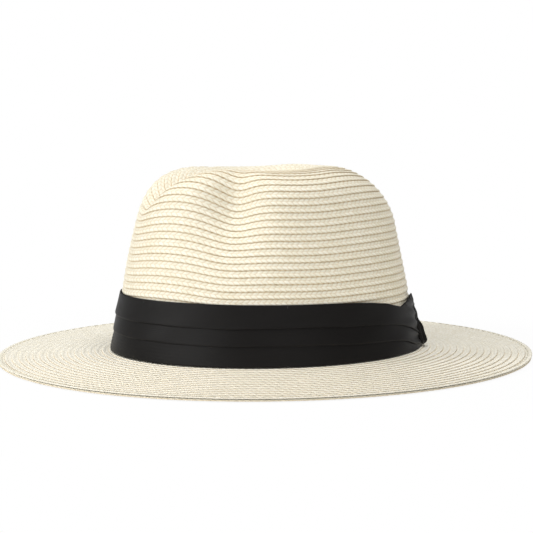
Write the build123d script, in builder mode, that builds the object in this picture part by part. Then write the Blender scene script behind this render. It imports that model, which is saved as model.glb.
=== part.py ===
"""Panama-style fedora sewn from flat plaited paper braid, with a pleated satin band.

Frame: millimetres, Z = 0 on the surface the brim edge rests on, -Y is the
front, +X is the wearer's left, and the origin is under the middle of the hat.
"""
import math
import os

from build123d import *

# ---- driving sizes, mm unless they say otherwise ---------------------------
crown_half_length = 103.4    # outside of the crown wall, front to back, at Z = 0
crown_half_width = 86.4      # the same, side to side
crown_height = 129.6         # top of the crown before the dent, above Z = 0
wall_taper = 0.187           # the wall leans in this much per mm of height
crown_lean = 0.021           # the whole crown leans to the front, mm per mm
rim_blend = 11.0             # how softly the wall rolls over into the top
front_drop = 36.0            # fall of the top line out to the front of the oval
back_drop = 58.0             # fall of the top line out to the back of the oval
side_drop = 22.0             # fall of the top line out to each side
dent_depth = 24.0            # centre dent, a teardrop that opens to the front
dent_front_width = 18.7
dent_back_width = 33.0
pinch_depth = 10.5           # the two finger pinches at the front
pinch_angle = 56.0           # degrees round from the front, each side
pinch_spread = 15.5          # degrees
nose_setback = 3.0           # the nose between the pinches stands back this much

braid_thickness = 1.2        # one layer of plaited braid
braid_width = 6.0            # the doubled edge row
brim_width = 72.6            # from the crown wall out to the edge
brim_camber = 2.6            # the brim is this much higher at the crown
break_run = 1.0              # the brim starts to turn up this far from the wall
break_rise = 3.0             # height of that turn
collar_height = 2.5          # lap of its first row up inside the crown

reed_width = 3.0             # flat plastic reed in the fold of the edge
reed_thickness = 0.5
reed_inset = 0.9             # from the edge of the brim

band_height = 37.4           # satin band, bottom edge to top edge
band_bottom = 5.6            # height of its bottom edge
pleat_1 = 13.3               # first fold line above the bottom edge
pleat_2 = 23.9               # second fold line
pleat_thick = 1.1            # at the fold, outside the backing
pleat_thin = 0.6             # where a pleat tucks under the next
backing_thickness = 0.4
backing_height = 33.0

sweatband_height = 32.0
sweatband_thickness = 0.9
sweatband_bottom = 3.2

knot_angle = 161.0           # degrees round from the front, on the left
knot_width = 15.0
knot_depth = 4.6
tail_length = 15.0
tail_thickness = 0.9

thread = 0.45                # thread thickness
edge_stitches = 72
edge_stitch_length = 6.0
sweat_stitches = 64
sweat_stitch_length = 4.2
tack_count = 6
tack_length = 2.4
label_width = 11.0
label_height = 17.0
label_thickness = 0.4

fit_gap = 0.1                # between sewn layers, so that no two share space
ring_points = 36             # outline points round the crown
dome_rings = 17              # rings from mid-height to the middle of the dent

# ---- values that follow from them ------------------------------------------
edge_top = 2 * braid_thickness
crown_bottom = edge_top + brim_camber + break_rise + 0.2
ray_height = 0.35 * crown_height
dent_front = -1.04 * crown_half_length
dent_back = 0.50 * crown_half_length
top_front = -0.305 * crown_half_length
top_back = 0.21 * crown_half_length
pinch_height = 0.783 * crown_height
pinch_reach = 0.205 * crown_height
tip_ring = 4.0               # degrees from straight up, the small flat ring


def smooth(t):
    """Ease from 0 to 1."""
    t = min(max(t, 0.0), 1.0)
    return t * t * (3 - 2 * t)


def crown_form(x, y, z):
    """Below zero inside the crown, above zero outside it, in about mm."""
    dx, dy = x, y + crown_lean * z
    r = math.hypot(dx, dy) + 1e-9
    half_l = crown_half_length - wall_taper * z
    half_w = crown_half_width - wall_taper * z
    oval = 1 / math.hypot(dx / r / half_w, dy / r / half_l)
    round_from_front = math.degrees(math.atan2(abs(dx), -dy))
    rise = max(pinch_height - z, 0) / pinch_reach
    pinch = math.exp(-(((round_from_front - pinch_angle) / pinch_spread) ** 2) - rise**2)
    nose = math.exp(-((round_from_front / 40) ** 2)) * smooth((z / crown_height - 0.45) / 0.4)
    wall = r - oval + pinch_depth * pinch + nose_setback * nose
    front = max(top_front - y, 0) / (crown_half_length + top_front)
    back = max(y - top_back, 0) / (crown_half_length - top_back)
    t = min(max((y - dent_front) / (dent_back - dent_front), 0), 1)
    depth = dent_depth * max(math.sin(math.pi * t**0.85), 0) ** 1.2
    width = dent_front_width + (dent_back_width - dent_front_width) * smooth(1.3 * t)
    top = crown_height - front_drop * front**2 - back_drop * back**2
    top -= side_drop * (x / crown_half_width) ** 2
    top -= depth * math.exp(-1.2 * (x / width) ** 2)
    roof = z - top
    near = max(rim_blend - abs(wall - roof), 0) / rim_blend
    return max(wall, roof) + near**2 * rim_blend / 4


def crown_point(turn, rise, height):
    """The point of the crown surface that a ray from its axis meets."""
    ray = Vector(
        math.cos(turn) * math.cos(rise), math.sin(turn) * math.cos(rise), math.sin(rise)
    )
    near, far = 0.0, 2 * crown_height
    for _ in range(40):
        middle = (near + far) / 2
        inside = crown_form(ray.X * middle, ray.Y * middle, height + ray.Z * middle) < 0
        near, far = (middle, far) if inside else (near, middle)
    return Vector(0, 0, height) + ray * near


def surface_normal(p):
    """Unit normal of the crown surface, pointing out."""
    e = 0.5
    n = Vector(
        crown_form(p.X + e, p.Y, p.Z) - crown_form(p.X - e, p.Y, p.Z),
        crown_form(p.X, p.Y + e, p.Z) - crown_form(p.X, p.Y - e, p.Z),
        crown_form(p.X, p.Y, p.Z + e) - crown_form(p.X, p.Y, p.Z - e),
    )
    return n.normalized()


def crown_solid(inset, bottom):
    """The closed form of the crown, inset from its outside surface."""
    turns = [2 * math.pi * i / ring_points for i in range(ring_points)]
    wires = []
    for level in (bottom, (2 * bottom + ray_height) / 3, (bottom + 2 * ray_height) / 3):
        ring = []
        for turn in turns:
            p = crown_point(turn, 0, level)
            ring.append(p - Vector(math.cos(turn), math.sin(turn), 0) * inset)
        wires.append(Wire([Edge.make_spline(ring, periodic=True)]))
    last = math.radians(90 - tip_ring)
    for k in range(dome_rings):
        rise = last * k / (dome_rings - 1)
        ring = []
        for turn in turns:
            p = crown_point(turn, rise, ray_height)
            ring.append(p - surface_normal(p) * inset)
        if k == dome_rings - 1:
            level = sum(p.Z for p in ring) / len(ring)
            ring = [Vector(p.X, p.Y, level) for p in ring]
        wires.append(Wire([Edge.make_spline(ring, periodic=True)]))
    return Solid.make_loft(wires)


def oval(out, height):
    """Level sketch of the wall's oval at this height, moved out by out."""
    with BuildSketch(Plane.XY.offset(height)) as sketch:
        with Locations((0, -crown_lean * height)):
            Ellipse(
                crown_half_width - wall_taper * height + out,
                crown_half_length - wall_taper * height + out,
            )
    return sketch.sketch


def brim_oval(out, height):
    """Level sketch of a brim row: the crown's oval at Z = 0, moved out by out."""
    with BuildSketch(Plane.XY.offset(height)) as sketch:
        Ellipse(crown_half_width + out, crown_half_length + out)
    return sketch.sketch


def on_wall(turn_from_front, out, height):
    """Location on the level plane: X along the wall, Y straight out of it."""
    half_l = crown_half_length - wall_taper * height + out
    half_w = crown_half_width - wall_taper * height + out
    a = math.radians(turn_from_front)
    reach = 1 / math.hypot(math.sin(a) / half_w, math.cos(a) / half_l)
    x, y = reach * math.sin(a), -reach * math.cos(a)
    face = math.degrees(math.atan2(y / half_l**2, x / half_w**2))
    return Location((x, y - crown_lean * height, 0), (0, 0, face - 90))


def even_turns(count, half_w, half_l):
    """Angles from the front that share an oval out into equal lengths."""
    steps = 1440
    lengths = [0.0]
    for i in range(steps):
        a0 = 2 * math.pi * i / steps
        a1 = 2 * math.pi * (i + 1) / steps
        across = half_w * (math.sin(a1) - math.sin(a0))
        along = half_l * (math.cos(a1) - math.cos(a0))
        lengths.append(lengths[-1] + math.hypot(across, along))
    turns = []
    for k in range(count):
        want = lengths[-1] * (k + 0.5) / count
        i = next(i for i in range(steps) if lengths[i + 1] >= want)
        a = 2 * math.pi * (i + (want - lengths[i]) / (lengths[i + 1] - lengths[i])) / steps
        turns.append(math.degrees(math.atan2(half_w * math.sin(a), half_l * math.cos(a))) % 360)
    return turns


# ---- crown: one spiral of braid, sewn from the tip down ---------------------
crown_outside = crown_solid(0.0, crown_bottom)
crown_inside = crown_solid(braid_thickness, crown_bottom - 1.0)

with BuildPart() as crown_braid:
    add(crown_outside)
    add(crown_inside, mode=Mode.SUBTRACT)

# ---- brim: braid rows from the crown out, its first row turned up inside ----
edge_row_inside = brim_width - braid_width
collar_out = -braid_thickness - fit_gap
collar_top = crown_bottom + collar_height


def brim_height(out):
    """Height of the brim's upper face at this distance out from the wall."""
    run = 1 - out / edge_row_inside
    return edge_top + brim_camber * run * (0.55 + 0.45 * run)


def brim_face(drop, top):
    """Sections up one face of the brim, drop below its upper face."""
    sections = []
    rows = 6
    for k in range(rows + 1):
        out = edge_row_inside + (break_run - edge_row_inside) * k / rows
        sections.append(brim_oval(out, brim_height(out) - drop))
    low = brim_height(break_run)
    high = low + break_rise
    reach = break_run - collar_out + wall_taper * high + drop
    for degrees in (25, 50, 75):
        a = math.radians(degrees)
        out = break_run - reach * math.sin(a)
        level = low - drop + (break_rise + drop) * (1 - math.cos(a))
        sections.append(brim_oval(out, level))
    sections.append(oval(collar_out - drop, high))
    sections.append(oval(collar_out - drop, top))
    return sections


with BuildPart() as brim_braid:
    add(brim_oval(brim_width, braid_thickness))
    extrude(amount=braid_thickness)
    loft(brim_face(0, collar_top), ruled=True)
    loft(brim_face(braid_thickness, collar_top + 1), ruled=True, mode=Mode.SUBTRACT)

# ---- edge: the last row doubled under the brim, round a flat reed -----------
reed_outside = brim_width - reed_inset
reed_inside = reed_outside - reed_width

with BuildPart() as brim_edge_braid:
    add(brim_oval(brim_width, 0))
    extrude(amount=braid_thickness)
    add(brim_oval(edge_row_inside, 0))
    extrude(amount=braid_thickness, mode=Mode.SUBTRACT)
    groove_floor = braid_thickness - reed_thickness
    with BuildSketch(Plane.XY.offset(groove_floor)):
        add(brim_oval(reed_outside + fit_gap, 0))
        add(brim_oval(reed_inside - fit_gap, 0), mode=Mode.SUBTRACT)
    extrude(amount=reed_thickness, mode=Mode.SUBTRACT)

with BuildPart() as brim_edge_reed:
    with BuildSketch(Plane.XY.offset(groove_floor)):
        add(brim_oval(reed_outside, 0))
        add(brim_oval(reed_inside, 0), mode=Mode.SUBTRACT)
    extrude(amount=reed_thickness)

with BuildPart() as brim_edge_stitches:
    row = brim_width - braid_width / 2
    half_w = crown_half_width + row
    half_l = crown_half_length + row
    for turn in even_turns(edge_stitches, half_w, half_l):
        a = math.radians(turn)
        reach = 1 / math.hypot(math.sin(a) / half_w, math.cos(a) / half_l)
        x, y = reach * math.sin(a), -reach * math.cos(a)
        face = math.degrees(math.atan2(y / half_l**2, x / half_w**2))
        with Locations(Location((x, y, edge_top), (0, 0, face - 90))):
            Box(
                edge_stitch_length,
                thread,
                thread,
                align=(Align.CENTER, Align.CENTER, Align.MIN),
            )

# ---- hatband: a stiff backing and one strip of satin in three pleats --------
backing_in = fit_gap
backing_out = backing_in + backing_thickness
satin_in = backing_out + fit_gap
band_top = band_bottom + band_height
backing_low = band_bottom + (band_height - backing_height) / 2
backing_high = backing_low + backing_height

with BuildPart() as hatband_backing:
    loft([oval(backing_out, backing_low), oval(backing_out, backing_high)])
    loft(
        [oval(backing_in, backing_low), oval(backing_in, backing_high)],
        mode=Mode.SUBTRACT,
    )

with BuildPart() as hatband:
    folds = [0, pleat_1, pleat_2, band_height]
    for low, high in zip(folds[:-1], folds[1:]):
        loft(
            [
                oval(satin_in + pleat_thick, band_bottom + low),
                oval(satin_in + pleat_thin, band_bottom + high),
            ]
        )
    loft([oval(satin_in, band_bottom), oval(satin_in, band_top)], mode=Mode.SUBTRACT)

# ---- the loop over the ends of the band, and the loose end under it ---------
knot_back = satin_in + pleat_thick + fit_gap
knot_form = [            # share of the band's height, of the width, of the depth
    (0.02, 0.86, 0.78),
    (0.24, 1.00, 1.00),
    (0.50, 0.80, 0.72),
    (0.76, 0.74, 0.52),
    (0.98, 0.70, 0.40),
]

with BuildPart() as hatband_knot:
    for up, wide, deep in knot_form:
        height = band_bottom + up * band_height
        with BuildSketch(Plane.XY.offset(height)):
            with Locations(on_wall(knot_angle, knot_back, height)):
                RectangleRounded(
                    wide * knot_width,
                    deep * knot_depth,
                    0.3 * deep * knot_depth,
                    align=(Align.CENTER, Align.MIN),
                )
    loft()

with BuildPart() as hatband_tail:
    for up in (0.10, 0.72):
        height = band_bottom + up * band_height
        with BuildSketch(Plane.XY.offset(height)):
            with Locations(on_wall(knot_angle, knot_back, height)):
                with Locations((-knot_width / 2 - fit_gap, 0)):
                    Rectangle(
                        tail_length,
                        tail_thickness,
                        align=(Align.MAX, Align.MIN),
                    )
    loft()

with BuildPart() as hatband_tacks:
    tack_out = satin_in + pleat_thin + fit_gap
    tack_top = band_top - 0.6
    for k in range(tack_count):
        turn = 360 * (k + 0.4) / tack_count
        for height in (tack_top - tack_length, tack_top):
            with BuildSketch(Plane.XY.offset(height)):
                with Locations(on_wall(turn, tack_out, height)):
                    Rectangle(thread, thread, align=(Align.CENTER, Align.MIN))
        loft()

# ---- inside: sweatband, the thread that holds it, and its blank label -------
sweat_out = collar_out - braid_thickness - 3 * fit_gap
sweat_in = sweat_out - sweatband_thickness
sweatband_top = sweatband_bottom + sweatband_height

with BuildPart() as sweatband:
    loft([oval(sweat_out, sweatband_bottom), oval(sweat_out, sweatband_top)])
    loft(
        [oval(sweat_in, sweatband_bottom), oval(sweat_in, sweatband_top)],
        mode=Mode.SUBTRACT,
    )

with BuildPart() as sweatband_stitches:
    height = crown_bottom + 1.0
    half_w = crown_half_width - wall_taper * height + sweat_in
    half_l = crown_half_length - wall_taper * height + sweat_in
    for turn in even_turns(sweat_stitches, half_w, half_l):
        spot = on_wall(turn, sweat_in - 1.2 * fit_gap, height)
        with Locations(Pos(0, 0, height) * spot):
            Box(
                sweat_stitch_length,
                thread,
                thread,
                align=(Align.CENTER, Align.MAX, Align.CENTER),
            )

with BuildPart() as size_label:
    label_out = sweat_in - fit_gap
    label_in = label_out - label_thickness
    label_low = sweatband_bottom + 0.35 * sweatband_height
    label_high = label_low + label_height
    loft([oval(label_out, label_low), oval(label_out, label_high)])
    loft(
        [oval(label_in, label_low), oval(label_in, label_high)],
        mode=Mode.SUBTRACT,
    )
    with Locations((0, crown_half_length, (label_low + label_high) / 2)):
        Box(label_width, 40, 2 * label_height, mode=Mode.INTERSECT)

# ---- write one file per piece -----------------------------------------------
pieces = {
    "crown_braid": crown_braid,
    "brim_braid": brim_braid,
    "brim_edge_braid": brim_edge_braid,
    "brim_edge_reed": brim_edge_reed,
    "brim_edge_stitches": brim_edge_stitches,
    "hatband_backing": hatband_backing,
    "hatband": hatband,
    "hatband_knot": hatband_knot,
    "hatband_tail": hatband_tail,
    "hatband_tacks": hatband_tacks,
    "sweatband": sweatband,
    "sweatband_stitches": sweatband_stitches,
    "size_label": size_label,
}
os.makedirs("parts", exist_ok=True)
for name, piece in pieces.items():
    piece.part.label = name
    export_step(piece.part, f"parts/{name}.step")
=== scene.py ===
"""Sewn straw hat: plaited braid crown and brim, pleated satin band, sweatband inside."""

import math

import bpy
import numpy as np
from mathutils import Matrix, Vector


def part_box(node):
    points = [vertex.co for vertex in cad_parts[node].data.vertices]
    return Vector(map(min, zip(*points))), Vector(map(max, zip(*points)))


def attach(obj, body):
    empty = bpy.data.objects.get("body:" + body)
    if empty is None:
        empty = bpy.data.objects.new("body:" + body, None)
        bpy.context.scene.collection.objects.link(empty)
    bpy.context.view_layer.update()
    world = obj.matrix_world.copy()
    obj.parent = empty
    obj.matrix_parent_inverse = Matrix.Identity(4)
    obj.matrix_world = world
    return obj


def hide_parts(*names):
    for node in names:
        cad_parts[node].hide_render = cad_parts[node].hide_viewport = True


bl_info = {
    "name": "Sewn Straw Hat",
    "version": (1, 0, 0),
    "blender": (4, 5, 0),
    "location": "3D View > Sidebar > Straw Hat",
    "description": "Builds a plaited braid hat with a pleated satin band around its frame",
    "category": "Add Mesh",
}

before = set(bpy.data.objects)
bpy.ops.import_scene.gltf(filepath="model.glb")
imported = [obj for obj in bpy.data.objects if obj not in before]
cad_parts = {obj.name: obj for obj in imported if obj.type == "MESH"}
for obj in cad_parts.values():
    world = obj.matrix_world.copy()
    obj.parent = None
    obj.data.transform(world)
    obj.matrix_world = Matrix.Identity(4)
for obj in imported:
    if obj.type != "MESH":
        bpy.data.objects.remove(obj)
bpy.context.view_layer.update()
MM = 0.001

# ---- sizes of the hat, mm, in the frame's own axes --------------------------
CROWN_LOW = np.array(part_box("crown_braid")[0]) / MM
BRIM_HIGH = np.array(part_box("brim_braid")[1]) / MM
BAND_LOW, BAND_HIGH = (np.array(c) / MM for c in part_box("hatband"))
SWEAT_LOW, SWEAT_HIGH = (np.array(c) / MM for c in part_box("sweatband"))

HALF_LENGTH, HALF_WIDTH, HEIGHT = 103.4, 86.4, 129.6
TAPER, LEAN, RIM_BLEND = 0.187, 0.021, 11.0
FRONT_DROP, BACK_DROP, SIDE_DROP = 36.0, 58.0, 22.0
DENT_DEPTH, DENT_FRONT, DENT_BACK = 24.0, 18.7, 33.0
PINCH_DEPTH, PINCH_ANGLE, PINCH_SPREAD, NOSE = 13.0, 56.0, 14.5, 3.0
BRAID = 1.2
BRIM_WIDTH = BRIM_HIGH[0] - HALF_WIDTH
EDGE_ROW = 6.0
CAMBER, BREAK_RUN, BREAK_RISE = 2.6, 1.0, 3.0
COLLAR_OUT = -1.3
BAND_OUT = 0.6
FRONT_FACES = -math.pi / 2
SLANT = 0.55  # how far a strand leans along the braid, in plaits
DOME_LEVELS, WALL_LEVELS = 260, 60  # levels the crown is measured at
REACH = 260.0  # farther than any point of the crown from its middle


def smooth(t):
    """Ease from 0 to 1."""
    t = np.clip(t, 0, 1)
    return t * t * (3 - 2 * t)


def running(steps):
    """How far along each point is, from the lengths of the steps between them."""
    return np.concatenate([[0], np.cumsum(steps)])


def stack(*parts):
    """Parts spread to one shape and put together as the last axis."""
    return np.stack(np.broadcast_arrays(*parts), -1)


def step_lengths(line):
    return np.linalg.norm(np.diff(line, axis=0), axis=1)


# ---- the crown's form -------------------------------------------------------
def crown_form(x, y, z):
    """Below zero inside the crown, above zero outside it."""
    dx, dy = x, y + LEAN * z
    r = np.hypot(dx, dy) + 1e-9
    half_l, half_w = HALF_LENGTH - TAPER * z, HALF_WIDTH - TAPER * z
    oval = 1 / np.hypot(dx / r / half_w, dy / r / half_l)
    turn = np.degrees(np.arctan2(np.abs(dx), -dy))
    rise = np.maximum(0.783 * HEIGHT - z, 0) / (0.205 * HEIGHT)
    pinch = np.exp(-(((turn - PINCH_ANGLE) / PINCH_SPREAD) ** 2) - rise**2)
    nose = np.exp(-((turn / 40) ** 2)) * smooth((z / HEIGHT - 0.45) / 0.4)
    wall = r - oval + PINCH_DEPTH * pinch + NOSE * nose
    front = np.maximum(-0.305 * HALF_LENGTH - y, 0) / (0.695 * HALF_LENGTH)
    back = np.maximum(y - 0.21 * HALF_LENGTH, 0) / (0.79 * HALF_LENGTH)
    t = np.clip((y + 1.04 * HALF_LENGTH) / (1.54 * HALF_LENGTH), 0, 1)
    depth = DENT_DEPTH * np.maximum(np.sin(math.pi * t**0.85), 0) ** 1.2
    width = DENT_FRONT + (DENT_BACK - DENT_FRONT) * smooth(1.3 * t)
    top = HEIGHT - FRONT_DROP * front**2 - BACK_DROP * back**2
    top = top - SIDE_DROP * (x / HALF_WIDTH) ** 2 - depth * np.exp(-1.2 * (x / width) ** 2)
    roof = z - top
    near = np.maximum(RIM_BLEND - np.abs(wall - roof), 0) / RIM_BLEND
    return np.maximum(wall, roof) + near**2 * RIM_BLEND / 4


class Skin:
    """A surface as a table of points: down it from 0 to 1, and round it by turns."""

    def __init__(self, points):
        """points: rows down the surface, columns once round it."""
        self.points = points
        down = np.gradient(points, axis=0)
        wrapped = np.concatenate([points[:, -1:], points, points[:, :1]], axis=1)
        across = (wrapped[:, 2:] - wrapped[:, :-2]) / 2
        down[0] = down[1]
        out = np.cross(across, down)
        out[0] = out[1].mean(0)
        self.out = -out / np.linalg.norm(out, axis=2, keepdims=True)
        self.down = down / np.linalg.norm(down, axis=2, keepdims=True)
        middle = np.linalg.norm(np.diff(points, axis=0), axis=2).sum(0)
        self.length = float(middle.mean())

    def at(self, table, share, turn):
        """A table read between its points; share runs down it, turn in rounds."""
        rows, columns = table.shape[:2]
        a = np.clip(share, 0, 1) * (rows - 1)
        b = (turn % 1.0) * columns
        i = np.minimum(a.astype(int), rows - 2)
        j = b.astype(int) % columns
        fa, fb = (a - i)[..., None], (b - np.floor(b))[..., None]
        k = (j + 1) % columns
        top = table[i, j] * (1 - fb) + table[i, k] * fb
        low = table[i + 1, j] * (1 - fb) + table[i + 1, k] * fb
        return top * (1 - fa) + low * fa

    def round_length(self, share):
        """Length once round the surface, this far down it."""
        ring = self.at(self.points, np.full(240, share), np.arange(240) / 240)
        return float(np.linalg.norm(ring - np.roll(ring, 1, axis=0), axis=1).sum())


def crown_skin(columns=480, rows=420):
    """The outside of the crown, from the middle of the dent to its lower edge."""
    turn = 2 * math.pi * np.arange(columns) / columns + FRONT_FACES
    level = 0.35 * HEIGHT
    rises = np.radians(np.linspace(90, 0, DOME_LEVELS))
    levels = np.linspace(level, CROWN_LOW[2], WALL_LEVELS)[1:]
    origin = np.concatenate([np.full(DOME_LEVELS, level), levels])[:, None]
    rise = np.concatenate([rises, np.zeros(WALL_LEVELS - 1)])[:, None]
    ray = stack(np.cos(turn) * np.cos(rise), np.sin(turn) * np.cos(rise), np.sin(rise))
    near, far = np.zeros(ray.shape[:2]), np.full(ray.shape[:2], REACH)
    for _ in range(34):
        middle = (near + far) / 2
        p = ray * middle[..., None]
        inside = crown_form(p[..., 0], p[..., 1], p[..., 2] + origin) < 0
        near, far = np.where(inside, middle, near), np.where(inside, far, middle)
    points = ray * near[..., None]
    points[..., 2] += origin
    steps = np.linalg.norm(np.diff(points, axis=0), axis=2)
    run = np.concatenate([np.zeros((1, columns)), np.cumsum(steps, axis=0)])
    even = np.empty((rows, columns, 3))
    for j in range(columns):
        want = np.linspace(0, run[-1, j], rows)
        for axis in range(3):
            even[:, j, axis] = np.interp(want, run[:, j], points[:, j, axis])
    return Skin(even)


def brim_height(out):
    """Height of the brim's upper face this far out from the crown wall."""
    run = 1 - np.clip(out / (BRIM_WIDTH - EDGE_ROW), 0, 1)
    return 2 * BRAID + CAMBER * run * (0.55 + 0.45 * run)


def brim_profile():
    """The brim's upper face from the top of its collar, round the break, to the edge."""
    low = float(brim_height(BREAK_RUN))
    high = low + BREAK_RISE
    reach = BREAK_RUN - COLLAR_OUT + TAPER * high
    line = [(COLLAR_OUT - TAPER * z, z) for z in np.linspace(BRIM_HIGH[2], high, 8)]
    for a in np.radians(np.linspace(80, 10, 7)):
        line.append((BREAK_RUN - reach * math.sin(a), low + BREAK_RISE * (1 - math.cos(a))))
    for out in np.linspace(BREAK_RUN, BRIM_WIDTH, 24):
        line.append((out, float(brim_height(out))))
    return np.array(line)


def swept_skin(line, columns=480, rows=300):
    """Ovals round the hat through a line of (distance out, height)."""
    run = running(step_lengths(line))
    want = np.linspace(0, run[-1], rows)
    out = np.interp(want, run, line[:, 0])[:, None]
    z = np.interp(want, run, line[:, 1])[:, None]
    turn = 2 * math.pi * np.arange(columns) / columns + FRONT_FACES
    lean = -LEAN * np.maximum(z - 2 * BRAID, 0) * smooth((8 - out) / 8)
    return Skin(stack(
        (HALF_WIDTH + out) * np.cos(turn), (HALF_LENGTH + out) * np.sin(turn) + lean, z
    ))


# ---- meshes -----------------------------------------------------------------
def new_object(name, verts_mm, faces):
    """A mesh object at the origin, from points in mm and lists of corners."""
    mesh = bpy.data.meshes.new(name)
    verts = np.asarray(verts_mm, dtype=np.float32) * MM
    sizes = np.array([len(f) for f in faces], dtype=np.int32)
    corners = np.concatenate([np.asarray(f, dtype=np.int32) for f in faces])
    mesh.vertices.add(len(verts))
    mesh.vertices.foreach_set("co", verts.ravel())
    mesh.loops.add(len(corners))
    mesh.loops.foreach_set("vertex_index", corners)
    mesh.polygons.add(len(sizes))
    mesh.polygons.foreach_set("loop_start", np.concatenate([[0], np.cumsum(sizes)[:-1]]))
    mesh.polygons.foreach_set("loop_total", sizes)
    mesh.update(calc_edges=True)
    mesh.validate()
    mesh.polygons.foreach_set("use_smooth", np.full(len(sizes), True))
    ob = bpy.data.objects.new(name, mesh)
    bpy.context.collection.objects.link(ob)
    return ob


def tube_faces(rings, around, closed):
    """Quads between rings of points, each ring a closed loop, with caps at open ends."""
    i = np.arange(rings if closed else rings - 1)[:, None]
    j = np.arange(around)[None, :]
    a, b = i * around + j, i * around + (j + 1) % around
    c, d = (i + 1) % rings * around + (j + 1) % around, (i + 1) % rings * around + j
    quads = np.stack([a, b, c, d], -1).reshape(-1, 4)
    faces = list(quads)
    if not closed:
        faces.append(np.arange(around)[::-1])
        faces.append((rings - 1) * around + np.arange(around))
    return faces


def corner_grid(rings, around, closed):
    """Ring and place on the ring of every corner of the quads of tube_faces."""
    i = np.arange(rings if closed else rings - 1)[:, None]
    i, j = (x.ravel() for x in np.broadcast_arrays(i, np.arange(around)[None, :]))
    return np.stack([i, i, i + 1, i + 1], -1), np.stack([j, j + 1, j + 1, j], -1)


def corner_values(mesh, name, values):
    """A UV map from one pair of values for each face corner."""
    layer = mesh.uv_layers.new(name=name)
    layer.uv.foreach_set("vector", np.asarray(values, dtype=np.float32).ravel())


# Across one strip of braid: share of the row, and the face it is on (1 upper, -1 under).
STRIP = [(-0.36, 1), (-0.06, 1), (0.1, 1), (0.25, 1), (0.4, 1), (0.5, 1), (0.6, 1), (0.75, 1),
         (0.9, 1), (1.0, 1), (1.0, -1), (0.68, -1), (0.32, -1), (-0.02, -1), (-0.36, -1)]
SAMPLES = 5  # columns in one cell of the plait


class Turn:
    """One run of braid on a skin: where its columns stand."""

    def __init__(self, turns, rows, cells, closed):
        """turns and rows: place of each column; cells: its count along the plait."""
        self.turns, self.rows, self.cells, self.closed = turns, rows, cells, closed


def closed_turn(skin, row, total, cell):
    """One closed ring of braid."""
    count = max(int(round(skin.round_length((row + 0.5) / total) / cell)), 6)
    columns = np.arange(count * SAMPLES)
    return Turn(columns / len(columns), np.full(len(columns), float(row)), columns / SAMPLES, True)


def spiral_turns(skin, first, last, total, cell):
    """The spiral from one row to another, its columns evenly spaced along it."""
    share = np.linspace(first, last, 2400)
    lengths = [skin.round_length(min((r + 0.5) / total, 1)) for r in share[::24]]
    pace = np.interp(share, share[::24], lengths)
    run = running((pace[1:] + pace[:-1]) / 2 * np.diff(share))
    count = int(run[-1] / cell * SAMPLES)
    rows = np.interp(np.linspace(0, run[-1], count), run, share)
    return Turn(rows % 1.0, rows, np.arange(count) / SAMPLES, False)


def braid_strip(name, skin, runs, total, inset=None, tilt=0.8, thick=0.7):
    """Smooth strips of braid on a skin, each row lapped over the one below it."""
    v = np.array([s[0] for s in STRIP])
    side = np.array([s[1] for s in STRIP], dtype=float)
    verts, outs, downs, cells, faces, uvs, maps = [], [], [], [], [], [], []
    start, around = 0, len(v)
    steps = np.concatenate([np.abs(np.diff(v)) + 0.06, [0.12]])
    loop_run = running(steps) / steps.sum()
    for lane, run in enumerate(runs):
        share = (run.rows[:, None] + v[None, :]) / total
        if not run.closed:
            centre = smooth((1.95 - run.rows) / 0.4)[:, None] * (v < 0)
            share = share * (1 - centre)
        turn = np.broadcast_to(run.turns[:, None], share.shape)
        p = skin.at(skin.points, share, turn)
        n = skin.at(skin.out, share, turn)
        d = skin.at(skin.down, share, turn)
        n = n / np.linalg.norm(n, axis=2, keepdims=True)
        lift = -BRAID / 2 + tilt * (v - 0.5) + side * thick / 2
        lift = np.broadcast_to(lift, share.shape)
        if inset:
            lift = lift - inset(p)
        p = p + n * lift[..., None]
        rings = len(run.rows)
        verts.append(p.reshape(-1, 3))
        outs.append((n * side[None, :, None]).reshape(-1, 3))
        downs.append(d.reshape(-1, 3))
        cells.append(stack(run.cells[:, None], v[None, :]).reshape(-1, 2))
        faces += [f + start for f in tube_faces(rings, around, run.closed)]
        corner_i, corner_j = corner_grid(rings, around, run.closed)
        uvs.append(np.stack([
            run.cells[0] + corner_i / SAMPLES, v[corner_j % around]
        ], -1).reshape(-1, 2))
        if run.closed:
            level, lanes, whole = lane, len(runs), corner_i / rings
        else:
            lanes = max(math.ceil(rings / 900), 1)
            per = rings / lanes
            level = np.minimum(corner_i[:, :1] // per, lanes - 1)
            whole = (corner_i - level * per) / per
        maps.append(np.stack([
            0.004 + 0.99 * np.clip(whole, 0, 1),
            (level + 0.04 + 0.92 * loop_run[corner_j]) / lanes,
        ], -1).reshape(-1, 2))
        if not run.closed:
            for end in (0, rings - 1):
                uvs.append(np.tile([run.cells[end], 0.5], (around, 1)))
                maps.append(np.tile([0.5, 0.5], (around, 1)))
        start += rings * around
    ob = new_object(name, np.concatenate(verts), faces)
    mesh = ob.data
    for key, rows in (("out", outs), ("down", downs)):
        layer = mesh.attributes.new(key, "FLOAT_VECTOR", "POINT")
        layer.data.foreach_set("vector", np.concatenate(rows).astype(np.float32).ravel())
    both = np.concatenate(cells).astype(np.float32)
    for k, key in enumerate(("cell", "across")):
        layer = mesh.attributes.new(key, "FLOAT", "POINT")
        layer.data.foreach_set("value", np.ascontiguousarray(both[:, k]))
    corner_values(mesh, "Plait", np.concatenate(uvs))
    corner_values(mesh, "OFBake", np.concatenate(maps))
    face_out(mesh)
    return ob


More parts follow.
